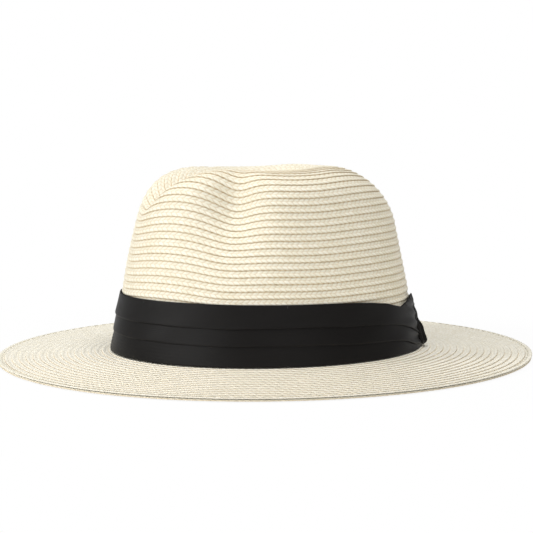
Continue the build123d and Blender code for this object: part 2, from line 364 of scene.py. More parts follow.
def face_out(mesh):
    """Turns a closed mesh's faces outwards, going by the sign of its volume."""
    mesh.calc_loop_triangles()
    tris = np.empty(len(mesh.loop_triangles) * 3, dtype=np.int32)
    mesh.loop_triangles.foreach_get("vertices", tris)
    co = np.empty(len(mesh.vertices) * 3, dtype=np.float32)
    mesh.vertices.foreach_get("co", co)
    a, b, c = (co.reshape(-1, 3).astype(float)[tris.reshape(-1, 3)[:, k]] for k in range(3))
    if np.einsum("ij,ij->i", a, np.cross(b, c)).sum() < 0:
        mesh.flip_normals()


# ---- node trees -------------------------------------------------------------
class Field:
    """A number in a node tree. Arithmetic on it adds Math nodes."""

    def __init__(self, nodes, socket):
        self.nodes, self.socket = nodes, socket

    def math(self, operation, *values):
        inputs = {k: v for k, v in enumerate(values)}
        return self.nodes.add("ShaderNodeMath", {"operation": operation}, inputs)

    def __add__(self, other):
        return self.math("ADD", self, other)

    def __sub__(self, other):
        return self.math("SUBTRACT", self, other)

    def __mul__(self, other):
        return self.math("MULTIPLY", self, other)

    def __truediv__(self, other):
        return self.math("DIVIDE", self, other)

    def __pow__(self, other):
        return self.math("POWER", self, other)

    def __radd__(self, other):
        return self.math("ADD", other, self)

    def __rsub__(self, other):
        return self.math("SUBTRACT", other, self)

    def __rmul__(self, other):
        return self.math("MULTIPLY", other, self)

    def sin(self):
        return self.math("SINE", self)

    def floor(self):
        return self.math("FLOOR", self)

    def fract(self):
        return self.math("FRACT", self)

    def above(self, other):
        return self.math("GREATER_THAN", self, other)

    def ramp(self, low, high):
        """0 at low, 1 at high, eased between."""
        inputs = {"Value": self, "From Min": low, "From Max": high}
        return self.nodes.add("ShaderNodeMapRange", {"interpolation_type": "SMOOTHSTEP"}, inputs)


class Nodes:
    """Adds nodes to one tree and links them."""

    def __init__(self, tree):
        self.tree = tree
        tree.nodes.clear()

    def add(self, kind, settings=None, inputs=None, out=0):
        """A new node: its type, then its settings, then its sockets' values or links."""
        node = self.tree.nodes.new(kind)
        for key, value in (settings or {}).items():
            setattr(node, key, value)
        for key, value in (inputs or {}).items():
            socket = node.inputs[key]
            if isinstance(value, Field):
                self.tree.links.new(value.socket, socket)
            elif isinstance(value, bpy.types.NodeSocket):
                self.tree.links.new(value, socket)
            elif value is not None:
                socket.default_value = value
        return Field(self, node.outputs[out]) if node.outputs else node

    def mix(self, factor, a, b):
        """One colour laid over another."""
        inputs = {0: factor, 6: a, 7: b}
        return self.add("ShaderNodeMix", {"data_type": "RGBA"}, inputs, out=2)


def plait(cell, across, slant):
    """The plait at a place on the braid: how far up a strand's puff it is, and its strand."""
    lines = across * 2.0 + 4.0
    line = (lines.floor() * 0.5).fract().above(0.25)
    w = lines.fract()
    lean = 1.0 - 2.0 * line
    shifted = cell + lean * (w - 0.5) * slant + line * 0.25
    c = shifted.fract()
    puff = ((c * math.pi).sin() ** 0.75) * ((w * math.pi).sin() ** 0.5)
    strand = shifted.floor() + lines.floor() * 31.7
    return puff, c, w, strand


def new_tree(name, values):
    """A geometry tree with a mesh and a material in, these values in, and a mesh out."""
    tree = bpy.data.node_groups.new(name, "GeometryNodeTree")
    face = tree.interface
    face.new_socket("Geometry", in_out="INPUT", socket_type="NodeSocketGeometry")
    for label, kind, default in values:
        item = face.new_socket(label, in_out="INPUT", socket_type="NodeSocket" + kind)
        item.default_value = default
    face.new_socket("Material", in_out="INPUT", socket_type="NodeSocketMaterial")
    face.new_socket("Geometry", in_out="OUTPUT", socket_type="NodeSocketGeometry")
    nodes = Nodes(tree)
    return tree, nodes, tree.nodes.new("NodeGroupInput").outputs


def plait_relief():
    """Geometry nodes: raises each strand's puff from a smooth strip of braid."""
    tree, nodes, given = new_tree("Plait relief", (
        ("Puff Height", "Float", 0.0004), ("Edge Scallop", "Float", 0.0003),
        ("Slant", "Float", SLANT),
    ))

    def read(name, kind="FLOAT"):
        return nodes.add("GeometryNodeInputNamedAttribute", {"data_type": kind}, {"Name": name})

    cell, across = read("cell"), read("across")
    puff, c, _, _ = plait(cell, across, Field(nodes, given["Slant"]))
    rise = (puff - 0.35) * Field(nodes, given["Puff Height"])
    edge = across.above(0.95) * ((c * math.pi).sin() - 0.5)
    push = edge * Field(nodes, given["Edge Scallop"])
    up = nodes.add(
        "ShaderNodeVectorMath", {"operation": "SCALE"},
        {0: read("out", "FLOAT_VECTOR"), "Scale": rise},
    )
    along = nodes.add(
        "ShaderNodeVectorMath", {"operation": "SCALE"},
        {0: read("down", "FLOAT_VECTOR"), "Scale": push},
    )
    total = nodes.add("ShaderNodeVectorMath", {"operation": "ADD"}, {0: up, 1: along})
    moved = nodes.add("GeometryNodeSetPosition", {}, {
        "Geometry": given["Geometry"], "Offset": total,
    })
    whole = nodes.add("GeometryNodeRealizeInstances", {}, {0: moved})
    done = nodes.add("GeometryNodeSetMaterial", {}, {
        "Geometry": whole, "Material": given["Material"],
    })
    nodes.add("NodeGroupOutput", {}, {0: done})
    return tree


def stitch_row():
    """Geometry nodes: a bar of thread on each point, turned along its own line."""
    tree, nodes, given = new_tree("Stitch row", (
        ("Stitch Length", "Float", 0.004), ("Thread Thickness", "Float", 0.0004),
        ("Seed", "Int", 3),
    ))

    def read(name):
        return nodes.add(
            "GeometryNodeInputNamedAttribute", {"data_type": "FLOAT_VECTOR"}, {"Name": name}
        )

    bead = nodes.add("GeometryNodeMeshUVSphere", {}, {"Segments": 8, "Rings": 6, "Radius": 0.5})
    scale = nodes.add("ShaderNodeCombineXYZ", {}, {
        "X": Field(nodes, given["Thread Thickness"]),
        "Y": Field(nodes, given["Thread Thickness"]),
        "Z": Field(nodes, given["Stitch Length"]),
    })
    turned = nodes.add("FunctionNodeAlignEulerToVector", {"axis": "Z"}, {"Vector": read("along")})
    vary = nodes.add("FunctionNodeRandomValue", {"data_type": "FLOAT_VECTOR"}, {
        0: (0.9, 0.9, 0.9), 1: (1.1, 1.1, 1.08), "Seed": given["Seed"],
    })
    size = nodes.add("ShaderNodeVectorMath", {"operation": "MULTIPLY"}, {0: scale, 1: vary})
    placed = nodes.add("GeometryNodeInstanceOnPoints", {}, {
        "Points": given["Geometry"], "Instance": bead, "Rotation": turned, "Scale": size,
    })
    whole = nodes.add("GeometryNodeRealizeInstances", {}, {0: placed})
    smooth_faces = nodes.add("GeometryNodeSetShadeSmooth", {}, {0: whole})
    done = nodes.add("GeometryNodeSetMaterial", {}, {
        "Geometry": smooth_faces, "Material": given["Material"],
    })
    nodes.add("NodeGroupOutput", {}, {0: done})
    return tree


def apply_tree(ob, tree, values):
    """Runs a geometry tree on an object and keeps the plain mesh it makes."""
    modifier = ob.modifiers.new(tree.name, "NODES")
    modifier.node_group = tree
    for item in tree.interface.items_tree:
        if item.item_type == "SOCKET" and item.in_out == "INPUT" and item.name in values:
            modifier[item.identifier] = values[item.name]
    depsgraph = bpy.context.evaluated_depsgraph_get()
    made = bpy.data.meshes.new_from_object(
        ob.evaluated_get(depsgraph), preserve_all_data_layers=True, depsgraph=depsgraph
    )
    ob.modifiers.remove(modifier)
    old, ob.data = ob.data, made
    bpy.data.meshes.remove(old)
    made.name = ob.name
    return ob


# ---- finishes ---------------------------------------------------------------
def new_material(name):
    material = bpy.data.materials.new(name)
    material.use_nodes = True
    return material, Nodes(material.node_tree)


def surface(nodes, base, roughness, normal=None, **fixed):
    """The closing shader: what varies comes in as links, the rest is set on it."""
    inputs = {"Base Color": base, "Roughness": roughness, "Normal": normal}
    shader = nodes.add("ShaderNodeBsdfPrincipled", {}, {**inputs, **fixed})
    nodes.add("ShaderNodeOutputMaterial", {}, {"Surface": shader})


def bump(nodes, height, distance, strength=1.0):
    inputs = {"Height": height, "Distance": distance, "Strength": strength}
    return nodes.add("ShaderNodeBump", {}, inputs)


def map_parts(nodes, name):
    """The two numbers of one of the piece's own maps."""
    uv = nodes.add("ShaderNodeUVMap", {"uv_map": name})
    split = nodes.tree.nodes.new("ShaderNodeSeparateXYZ")
    nodes.tree.links.new(uv.socket, split.inputs[0])
    return Field(nodes, split.outputs[0]), Field(nodes, split.outputs[1])


def straw_finish(name, colour, gap_shade_colour):
    """Plaited paper straw: each strand its own tone, fine fibres, painted tan shade in the gaps
    between strands and a painted shadow under each row's lapped edge.
    """
    material, nodes = new_material(name)
    cell, across = map_parts(nodes, "Plait")
    puff, c, w, strand = plait(cell, across, SLANT)
    tone = nodes.add("ShaderNodeTexWhiteNoise", {"noise_dimensions": "1D"}, {"W": strand})
    where = nodes.add("ShaderNodeCombineXYZ", {}, {"X": c * 16.0, "Y": w * 1.6, "Z": strand})
    fibre = nodes.add("ShaderNodeTexNoise", {}, {"Vector": where, "Scale": 1.0, "Detail": 3.0})
    place = nodes.add("ShaderNodeTexCoord", out=3)
    patch = nodes.add("ShaderNodeTexNoise", {}, {"Vector": place, "Scale": 38.0, "Detail": 2.0})
    pale = tuple(min(x * 1.05, 1) for x in colour[:3]) + (1,)
    dull = (colour[0] * 0.90, colour[1] * 0.87, colour[2] * 0.78, 1)
    straw = nodes.mix(tone * 0.45 + fibre * 0.35 + patch * 0.25 - 0.05, pale, dull)
    # Painted shade: the straw turns towards the gap colour in the hollows between strands, and a
    # painted shadow darkens it just below the edge of the row lapped over it.
    gap = 1.0 - puff.ramp(0.10, 0.62)
    lap_shadow = 1.0 - across.ramp(0.0, 0.2)
    dark = gap * 0.34 + lap_shadow * 0.62 * (1.0 - gap * 0.34)
    base = nodes.mix(dark, straw, (*gap_shade_colour[:3], 1))
    rough = 0.5 + fibre * 0.2 + gap * 0.15
    height = fibre * 0.35 + puff * 0.65
    surface(nodes, base, rough, bump(nodes, height, 0.00018, 0.6), **{"Specular IOR Level": 0.35})
    return material


def satin_finish(colour):
    """Black satin: long floats as fine ribs along the strip, soft uneven sheen."""
    material, nodes = new_material("Band satin")
    along, up = map_parts(nodes, "Cloth")
    ribs = (up * (2 * math.pi / 0.42) + (along * 0.9).sin() * 0.25).sin()
    warp = nodes.add("ShaderNodeCombineXYZ", {}, {"X": along * 0.35, "Y": up * 5.0})
    slubs = nodes.add("ShaderNodeTexNoise", {}, {"Vector": warp, "Scale": 1.0, "Detail": 4.0})
    wide = nodes.add("ShaderNodeCombineXYZ", {}, {"X": along * 0.03, "Y": up * 0.12})
    cloud = nodes.add("ShaderNodeTexNoise", {}, {"Vector": wide, "Scale": 1.0, "Detail": 2.0})
    lighter = tuple(x * 1.6 + 0.001 for x in colour[:3]) + (1,)
    base = nodes.mix(cloud * 0.5 + slubs * 0.4, (*colour[:3], 1), lighter)
    rough = 0.38 + slubs * 0.10 + cloud * 0.06
    height = ribs * 0.3 + slubs * 0.7
    fixed = {"Specular IOR Level": 0.19, "Sheen Weight": 0.0, "Sheen Roughness": 0.4}
    surface(nodes, base, rough, bump(nodes, height, 0.00006, 0.5), **fixed)
    return material


def tape_finish(name, colour, pitch=0.7):
    """Woven tape: over and under threads on the piece's own map, in mm."""
    material, nodes = new_material(name)
    along, up = map_parts(nodes, "Cloth")
    a, b = along * (1 / pitch), up * (1 / pitch)
    twill = (a + b * 2.0).fract()
    thread = ((twill * math.pi).sin() ** 0.6) * (((b * 2.0).fract() * math.pi).sin() ** 0.4)
    where = nodes.add("ShaderNodeCombineXYZ", {}, {"X": a * 0.6, "Y": b * 2.0})
    fuzz = nodes.add("ShaderNodeTexNoise", {}, {"Vector": where, "Scale": 1.0, "Detail": 3.0})
    dark = tuple(x * 0.62 for x in colour[:3]) + (1,)
    base = nodes.mix(thread * 0.7 + fuzz * 0.3, dark, (*colour[:3], 1))
    rough = 0.75 + fuzz * 0.2
    height = thread * 0.75 + fuzz * 0.25
    surface(nodes, base, rough, bump(nodes, height, 0.00015, 0.7), **{"Specular IOR Level": 0.25})
    return material


def thread_finish(name, colour):
    """Sewing thread: two plies wound round each other."""
    material, nodes = new_material(name)
    place = nodes.add("ShaderNodeTexCoord", out=3)
    ply = nodes.add(
        "ShaderNodeTexWave", {"wave_type": "BANDS", "bands_direction": "DIAGONAL"},
        {"Vector": place, "Scale": 900.0, "Distortion": 1.5, "Detail": 2.0},
    )
    lint = nodes.add("ShaderNodeTexNoise", {}, {"Vector": place, "Scale": 2500.0})
    dark = tuple(x * 0.7 for x in colour[:3]) + (1,)
    base = nodes.mix(ply * 0.6 + lint * 0.4, dark, (*colour[:3], 1))
    surface(nodes, base, 0.5 + lint * 0.2, bump(nodes, ply, 0.00008, 0.6))
    return material


def reed_finish(colour):
    """Milky flat plastic with faint drawing lines."""
    material, nodes = new_material("Edge reed")
    place = nodes.add("ShaderNodeTexCoord", out=3)
    lines = nodes.add("ShaderNodeTexNoise", {}, {"Vector": place, "Scale": 300.0, "Detail": 3.0})
    dark = tuple(x * 0.85 for x in colour[:3]) + (1,)
    base = nodes.mix(lines, dark, (*colour[:3], 1))
    surface(nodes, base, 0.3 + lines * 0.15, bump(nodes, lines, 0.00003))
    return material


# ---- cloth on the crown's wall ----------------------------------------------
def rounded(line, rounds=3):
    """A line of points with its corners cut off several times over."""
    line = np.asarray(line, dtype=float)
    for _ in range(rounds):
        near = line[:-1] * 0.75 + line[1:] * 0.25
        far = line[:-1] * 0.25 + line[1:] * 0.75
        middle = np.stack([near, far], 1).reshape(-1, 2)
        line = np.concatenate([line[:1], middle, line[-1:]])
    return line


def on_wall(turn, out, z):
    """A point by the crown's wall: turn in radians from +X, out and z in mm."""
    half_w, half_l = HALF_WIDTH - TAPER * z + out, HALF_LENGTH - TAPER * z + out
    return stack(half_w * np.cos(turn), half_l * np.sin(turn) - LEAN * z, z)


def sheet_loop(lines, thick):
    """Closed sections of a sheet, from its middle lines: [column, point, (out, height)]."""
    along = np.gradient(lines, axis=1)
    along /= np.linalg.norm(along, axis=2, keepdims=True) + 1e-9
    side = np.stack([-along[..., 1], along[..., 0]], -1) * thick / 2
    return np.concatenate([lines + side, (lines - side)[:, ::-1]], axis=1)


def cloth_ring(name, turns, lines, thick, low):
    """A strip of cloth round the wall. lines: [column, point, (out, height over low)]."""
    loops = sheet_loop(lines, thick)
    points = on_wall(turns[:, None], loops[..., 0], loops[..., 1] + low)
    rings, around = points.shape[:2]
    ob = new_object(name, points.reshape(-1, 3), tube_faces(rings, around, True))
    corner_i, corner_j = corner_grid(rings, around, True)
    middle = points.mean(1)
    steps = np.linalg.norm(np.roll(middle, -1, axis=0) - middle, axis=1)
    run = running(steps)
    up = running(step_lengths(loops[0]))
    up = np.concatenate([up, [up[-1] + thick]])
    cloth = np.stack([run[corner_i], up[corner_j]], -1).reshape(-1, 2)
    bake = cloth / [run[rings], up[-1]] * 0.98 + 0.01
    corner_values(ob.data, "Cloth", cloth)
    corner_values(ob.data, "OFBake", bake)
    face_out(ob.data)
    return ob


def cloth_patch(name, grid, thick):
    """A small sheet from a grid of points in mm, given its thickness both ways."""
    across = np.gradient(grid, axis=1)
    down = np.gradient(grid, axis=0)
    out = np.cross(across, down)
    out /= np.linalg.norm(out, axis=2, keepdims=True) + 1e-9
    rows, columns = grid.shape[:2]
    loops = np.concatenate([grid + out * thick / 2, (grid - out * thick / 2)[:, ::-1]], axis=1)
    around = 2 * columns
    ob = new_object(name, loops.reshape(-1, 3), tube_faces(rows, around, False))
    corner_i, corner_j = corner_grid(rows, around, False)
    wide = np.linalg.norm(np.diff(grid, axis=1), axis=2).sum(1).mean()
    tall = np.linalg.norm(np.diff(grid, axis=0), axis=2).sum(0).mean()
    share = corner_j / (around / 2)
    cloth = np.stack([share * wide, corner_i / (rows - 1) * tall], -1).reshape(-1, 2)
    bake = np.stack([share / 2, corner_i / (rows - 1)], -1).reshape(-1, 2) * 0.97 + 0.015
    for end in (0, 1):
        cloth = np.concatenate([cloth, np.tile([0.0, end * tall], (around, 1))])
        bake = np.concatenate([bake, np.tile([0.99, 0.99], (around, 1))])
    corner_values(ob.data, "Cloth", cloth)
    corner_values(ob.data, "OFBake", bake)
    face_out(ob.data)
    return ob, float(wide), float(tall)


def wall_turn(from_front):
    """The oval's own angle for degrees round from the front, on the wearer's left."""
    a = math.radians(from_front)
    return math.atan2(-math.cos(a) / HALF_LENGTH, math.sin(a) / HALF_WIDTH)


KNOT_TURN = wall_turn(161.0)
WALL_RADIUS = 78.0  # mm of wall for each radian of the oval's angle, near the knot


def past_knot(turns):
    """Distance round the wall from the knot, mm, negative towards the front."""
    gap = (turns - KNOT_TURN + math.pi) % (2 * math.pi) - math.pi
    return gap * WALL_RADIUS


PLEATS = [
    (0.15, 31.0), (0.15, 37.0), (0.35, 37.45), (0.62, 37.1), (0.85, 33.0), (1.15, 28.0),
    (1.5, 24.5), (1.55, 23.5), (1.3, 23.2), (1.12, 23.8), (0.85, 27.0), (0.62, 29.4),
    (0.45, 29.9), (0.28, 29.4), (0.4, 26.0), (0.7, 22.8), (1.0, 19.0), (1.42, 14.3),
    (1.5, 13.2), (1.28, 12.8), (1.08, 13.3), (0.8, 16.5), (0.6, 19.0), (0.44, 19.4),
    (0.28, 18.9), (0.4, 16.0), (0.72, 12.2), (1.05, 7.5), (1.3, 2.5), (1.3, 0.5),
    (1.1, 0.05), (0.85, 0.4), (0.6, 3.0), (0.5, 6.0),
]


DRAWN = np.array([0, 5, 16, 26, 31, 40, 50, 60, 80, 110, 150])
TOP_FALL = np.array([3.2, 4.0, 6.0, 8.0, 6.9, 4.3, 2.9, 1.8, 0.9, 0.5, 0])
UPPER_FALL = np.array([17, 13.8, 9, 6.3, 5.1, 3.4, 2.3, 1.6, 0.8, 0.3, 0])
LOWER_FALL = np.array([10.5, 10.3, 9.1, 5.8, 4.6, 3.2, 2.7, 2.2, 1.0, 0.3, 0])


def fall(up, s):
    """How far the knot pulls the band down, at a height on it and a distance away, mm."""
    near = np.abs(s)
    low, high, top = (np.interp(near, DRAWN, x) for x in (LOWER_FALL, UPPER_FALL, TOP_FALL))
    first = low * np.clip(up / 12.9, 0, 1)
    second = (high - low) * np.clip((up - 12.9) / 10.7, 0, 1)
    return first + second + (top - high) * np.clip((up - 23.6) / 13.8, 0, 1)


def satin_lines(turns):
    """Middle lines of the pleated strip, drawn in and down towards the knot."""
    base = rounded(PLEATS, 2)
    lines = np.broadcast_to(base, (len(turns), *base.shape)).copy()
    out, up = lines[..., 0], lines[..., 1]
    s = past_knot(turns)[:, None]
    t = turns[:, None]
    drawn = np.exp(-((s / 15.0) ** 2))
    sway = 0.28 * np.sin(3 * t + 0.6) + 0.2 * np.sin(7 * t + 2.1) + 0.1 * np.sin(17 * t)
    sway = sway * np.sin(np.clip(up / 37.4, 0, 1) * math.pi)
    lines[..., 1] = up - fall(up, s) + sway * (1 - drawn)
    swell = 0.14 * np.sin(5 * t + up * 0.12) + 0.09 * np.sin(13 * t - up * 0.3)
    pucker = 0.55 * drawn * (1 + np.sin(up * 0.95 + s * 0.2))
    fold = 0.4 * np.exp(-(((s + 92) / 16.0) ** 2) - ((up - 10.8) / 1.6) ** 2)
    out = out * (1 - 0.45 * np.exp(-((s / 6.0) ** 2))) + (swell + pucker) * smooth(out / 0.6) - fold
    lines[..., 0] = np.maximum(out, 0.12) + BAND_OUT
    return lines


def backing_lines(turns):
    """Middle lines of the stiff strip the satin is pleated on."""
    up = np.linspace(2.2, 35.0, 12)[None, :]
    s = past_knot(turns)[:, None]
    return np.stack([0 * s + 0 * up + 0.34, up - fall(up, s)], -1)


def knot_grid():
    """The gathered loop over the band's ends: flat at the top, bunched low down."""
    t = np.linspace(0, 1, 72)[:, None]
    s = np.linspace(-1, 1, 84)[None, :]
    places = [0, 0.1, 0.35, 0.5, 0.66, 0.86, 0.95, 1.0]
    half = np.interp(t, places, [8.0, 7.6, 6.2, 5.2, 4.4, 4.6, 5.4, 5.8])
    high = np.interp(t, places, [1.5, 1.9, 2.1, 2.5, 4.0, 5.4, 5.2, 4.2])
    ridges = np.cos(s * 7.8 + 1.5 * t + 0.5 * np.sin(t * 9.0))
    folds = (0.25 + 0.55 * smooth((t - 0.2) / 0.4)) * ridges
    edge = np.sqrt(np.maximum(1 - np.abs(s) ** 2.6 * 0.985, 0))
    out = 1.05 + (high - 1.05 + folds) * edge + 0.35 * np.sin(t * 21.0) * edge * smooth(t * 4)
    turn = KNOT_TURN + (s * half + 2.0 * t**2) / WALL_RADIUS
    height = 34.6 - 33.0 * t - 1.6 * np.abs(s) ** 1.5 * (1 - t) + 0.5 * ridges * t
    return on_wall(turn, out, height + BAND_LOW[2])


def tail_grid():
    """The loose end that comes out from under the knot and stands off the band."""
    t = np.linspace(0, 1, 30)[:, None]
    s = np.linspace(-1, 1, 26)[None, :]
    run = 3.5 + 14.0 * t
    height = 6.0 - 0.4 * t + s * (4.6 + 0.9 * t) + 0.5 * t * s**2
    out = 2.9 + 3.2 * t**1.4 + 0.6 * np.sin(s * 4.2 + 2 * t) * t
    return on_wall(KNOT_TURN + run / WALL_RADIUS, out, height + BAND_LOW[2])


def sweat_lines(turns):
    """Middle lines of the sweatband: hemmed at its lower edge, free at its top."""
    top, low = SWEAT_HIGH[2] - SWEAT_LOW[2], 0.0
    base = rounded([
        (-3.05, 9.0), (-3.05, 1.0), (-3.2, low + 0.2), (-3.5, low + 0.1), (-3.7, 1.0),
        (-3.72, 6.0), (-3.74, 14.0), (-3.7, 24.0), (-3.66, top),
    ])
    lines = np.broadcast_to(base, (len(turns), *base.shape)).copy()
    t = turns[:, None]
    free = smooth((lines[..., 1] - 12) / 18)
    lines[..., 0] += free * (0.16 * np.sin(6 * t + 1) + 0.1 * np.sin(11 * t))
    lines[..., 1] += 0.15 * np.sin(9 * t) * smooth(lines[..., 1] / 20)
    return lines


def stitch_points(name, places, along):
    """Points for a stitch row, each with the way its thread lies."""
    mesh = bpy.data.meshes.new(name)
    mesh.from_pydata([tuple(p * MM) for p in places], [], [])
    layer = mesh.attributes.new("along", "FLOAT_VECTOR", "POINT")
    layer.data.foreach_set("vector", np.asarray(along, dtype=np.float32).ravel())
    ob = bpy.data.objects.new(name, mesh)
    bpy.context.collection.objects.link(ob)
    return ob


def even_oval(half_w, half_l, count):
    """Angles that share an oval out into equal lengths."""
    t = np.linspace(0, 2 * math.pi, 2881)
    steps = np.hypot(half_w * np.diff(np.cos(t)), half_l * np.diff(np.sin(t)))
    run = running(steps)
    return np.interp((np.arange(count) + 0.5) * run[-1] / count, run, t) + FRONT_FACES


# ---- what a user would change -----------------------------------------------
def colour_value(name, description, default):
    return bpy.props.FloatVectorProperty(
        name=name, description=description, subtype="COLOR", default=default, min=0, max=1
    )


class StrawHatBraid(bpy.types.PropertyGroup):
    row_pitch: bpy.props.FloatProperty(
        name="Row Pitch", description="From one row of braid to the next, mm", default=4.5, min=3
    )
    cell_length: bpy.props.FloatProperty(
        name="Plait Length", description="Length of one plait along the braid, mm", default=3.7,
        min=2.5,
    )
    puff_height: bpy.props.FloatProperty(
        name="Puff Height", description="How far a strand stands up", default=0.00034,
        subtype="DISTANCE", unit="LENGTH",
    )
    scallop: bpy.props.FloatProperty(
        name="Edge Scallop", description="How far strands bulge past a row's edge",
        default=0.00055, subtype="DISTANCE", unit="LENGTH",
    )
    straw: colour_value("Straw", "Colour of the straw", (0.89, 0.855, 0.735))
    # The gap colour is the painted shade between the strands and the painted shadow under each
    # row's lapped edge.
    gap: colour_value("Gap", "Colour deep between the strands", (0.55, 0.34, 0.12))


class StrawHatCloth(bpy.types.PropertyGroup):
    satin: colour_value("Satin", "Colour of the pleated band", (0.0026, 0.0020, 0.0017))
    satin_thickness: bpy.props.FloatProperty(
        name="Satin Thickness", description="Thickness of the satin, mm", default=0.28, min=0.1
    )
    cotton: colour_value("Cotton", "Colour of the sweatband", (0.70, 0.64, 0.50))
    thread: colour_value("Thread", "Colour of the sewing thread", (0.80, 0.76, 0.62))
    edge_stitches: bpy.props.IntProperty(
        name="Edge Stitches", description="Stitches round the brim's edge", default=150, min=12
    )


def finish_for(name, make):
    """A finish, made the first time it is asked for."""
    return bpy.data.materials.get(name) or make()


def straw(name="Plaited straw", painted_light=0.0):
    """The straw's finish; the share given mixes it and its gap shade towards a pale tone, 0 to 1,
    as painted light for a surface that takes more light.
    """
    p = bpy.context.scene.straw_hat_braid
    pale = np.array((0.95, 0.94, 0.89))
    colour = tuple(np.array(p.straw) * (1 - painted_light) + pale * painted_light)
    gap = tuple(np.array(p.gap) * (1 - painted_light) + pale * painted_light)
    return finish_for(name, lambda: straw_finish(name, colour, gap))


def satin():
    p = bpy.context.scene.straw_hat_cloth
    return finish_for("Band satin", lambda: satin_finish(tuple(p.satin)))


def pale_thread():
    p = bpy.context.scene.straw_hat_cloth
    return finish_for("Pale thread", lambda: thread_finish("Pale thread", tuple(p.thread)))


def relief(ob, material=None, share=1.0):
    """Raises the plait on a smooth strip of braid."""
    p = bpy.context.scene.straw_hat_braid
    tree = bpy.data.node_groups.get("Plait relief") or plait_relief()
    return apply_tree(ob, tree, {
        "Puff Height": p.puff_height * share, "Edge Scallop": p.scallop * share,
        "Slant": SLANT, "Material": material or straw(),
    })


def stitches(ob, length, thick, material):
    """Lays a bar of thread on each of an object's points."""
    tree = bpy.data.node_groups.get("Stitch row") or stitch_row()
    return apply_tree(ob, tree, {
        "Stitch Length": length * MM, "Thread Thickness": thick * MM, "Seed": 5,
        "Material": material,
    })


def join_hat(ob, slot, *nodes):
    """Makes a piece part of the hat: puts it on the root body and hides the frame parts it stands
    in for; slot is not used.
    """
    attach(ob, "root")
    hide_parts(*nodes)


# ---- operators --------------------------------------------------------------
class STRAWHAT_OT_crown(bpy.types.Operator):
    """Lay the crown's spiral of braid from the middle of the dent to the band"""

    bl_idname = "straw_hat.crown"
    bl_label = "Crown Braid"

    def execute(self, context):
        p = context.scene.straw_hat_braid
        skin = crown_skin()
        total = round(skin.length / p.row_pitch)

        def under_band(points):
            return 0.55 * smooth((BAND_HIGH[2] + 1.0 - points[..., 2]) / 3.0)

        last = total - 1.0
        cuts = [0.38, last * 0.50, last * 0.70, last * 0.86, last]
        for k, (first, end) in enumerate(zip(cuts[:-1], cuts[1:])):
            run = spiral_turns(skin, first, end, total, p.cell_length)
            ob = braid_strip(f"crown_braid_{k + 1}", skin, [run], total, under_band)
            join_hat(relief(ob), "straw", "crown_braid")
        return {"FINISHED"}


class STRAWHAT_OT_brim(bpy.types.Operator):
    """Lay the brim's rows of braid from inside the crown out to the edge"""

    bl_idname = "straw_hat.brim"
    bl_label = "Brim Braid"

    def execute(self, context):
        p = context.scene.straw_hat_braid
        skin = swept_skin(brim_profile())
        total = round(skin.length / p.row_pitch)

        def under_band(points):
            return 0.3 * smooth((points[..., 2] - 5.4) / 2.0)

        rows = list(range(total))
        cuts = [0, total * 6 // 10 - 1, total * 8 // 10, total]
        for k, (first, end) in enumerate(zip(cuts[:-1], cuts[1:])):
            runs = [closed_turn(skin, r, total, p.cell_length) for r in rows[first:end]]
            ob = braid_strip(f"brim_braid_{k + 1}", skin, runs, total, under_band)
            # The brim's straw is painted halfway towards a pale tone: painted light standing in for
            # the brighter light on the flat brim.
            join_hat(relief(ob, straw("Brim straw painted lighter", 0.5), 0.72), "straw", "brim_braid")
        return {"FINISHED"}


class STRAWHAT_OT_edge(bpy.types.Operator):
    """Double the last row under the edge and stitch it down"""

    bl_idname = "straw_hat.edge"
    bl_label = "Brim Edge"

    def execute(self, context):
        p = context.scene.straw_hat_braid
        cloth = context.scene.straw_hat_cloth
        line = np.array([(BRIM_WIDTH - EDGE_ROW, BRAID), (BRIM_WIDTH, BRAID)])
        skin = swept_skin(line, rows=24)
        run = closed_turn(skin, 0.26, 1.36, p.cell_length)
        ob = braid_strip("edge_under_row", skin, [run], 1.36, tilt=0.0, thick=0.72)
        join_hat(relief(ob), "straw", "brim_edge_braid")
        row = BRIM_WIDTH - 2.6
        half_w, half_l = HALF_WIDTH + row, HALF_LENGTH + row
        t = even_oval(half_w, half_l, cloth.edge_stitches)
        places = np.stack([half_w * np.cos(t), half_l * np.sin(t), 0 * t + 2.62], -1)
        along = np.stack([-half_w * np.sin(t), half_l * np.cos(t), 0 * t], -1)
        ob = stitch_points("edge_thread", places, along)
        thread = pale_thread()
        stitches(ob, 4.6, 0.42, thread)
        join_hat(ob, "thread", "brim_edge_stitches")
        reed = bpy.data.objects.get("brim_edge_reed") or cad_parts["brim_edge_reed"]
        set_finish(reed, reed_finish((0.80, 0.79, 0.72)))
        return {"FINISHED"}


def set_finish(ob, material):
    """Gives a frame piece that stays in view a finish of its own."""
    ob.data.materials.clear()
    ob.data.materials.append(material)


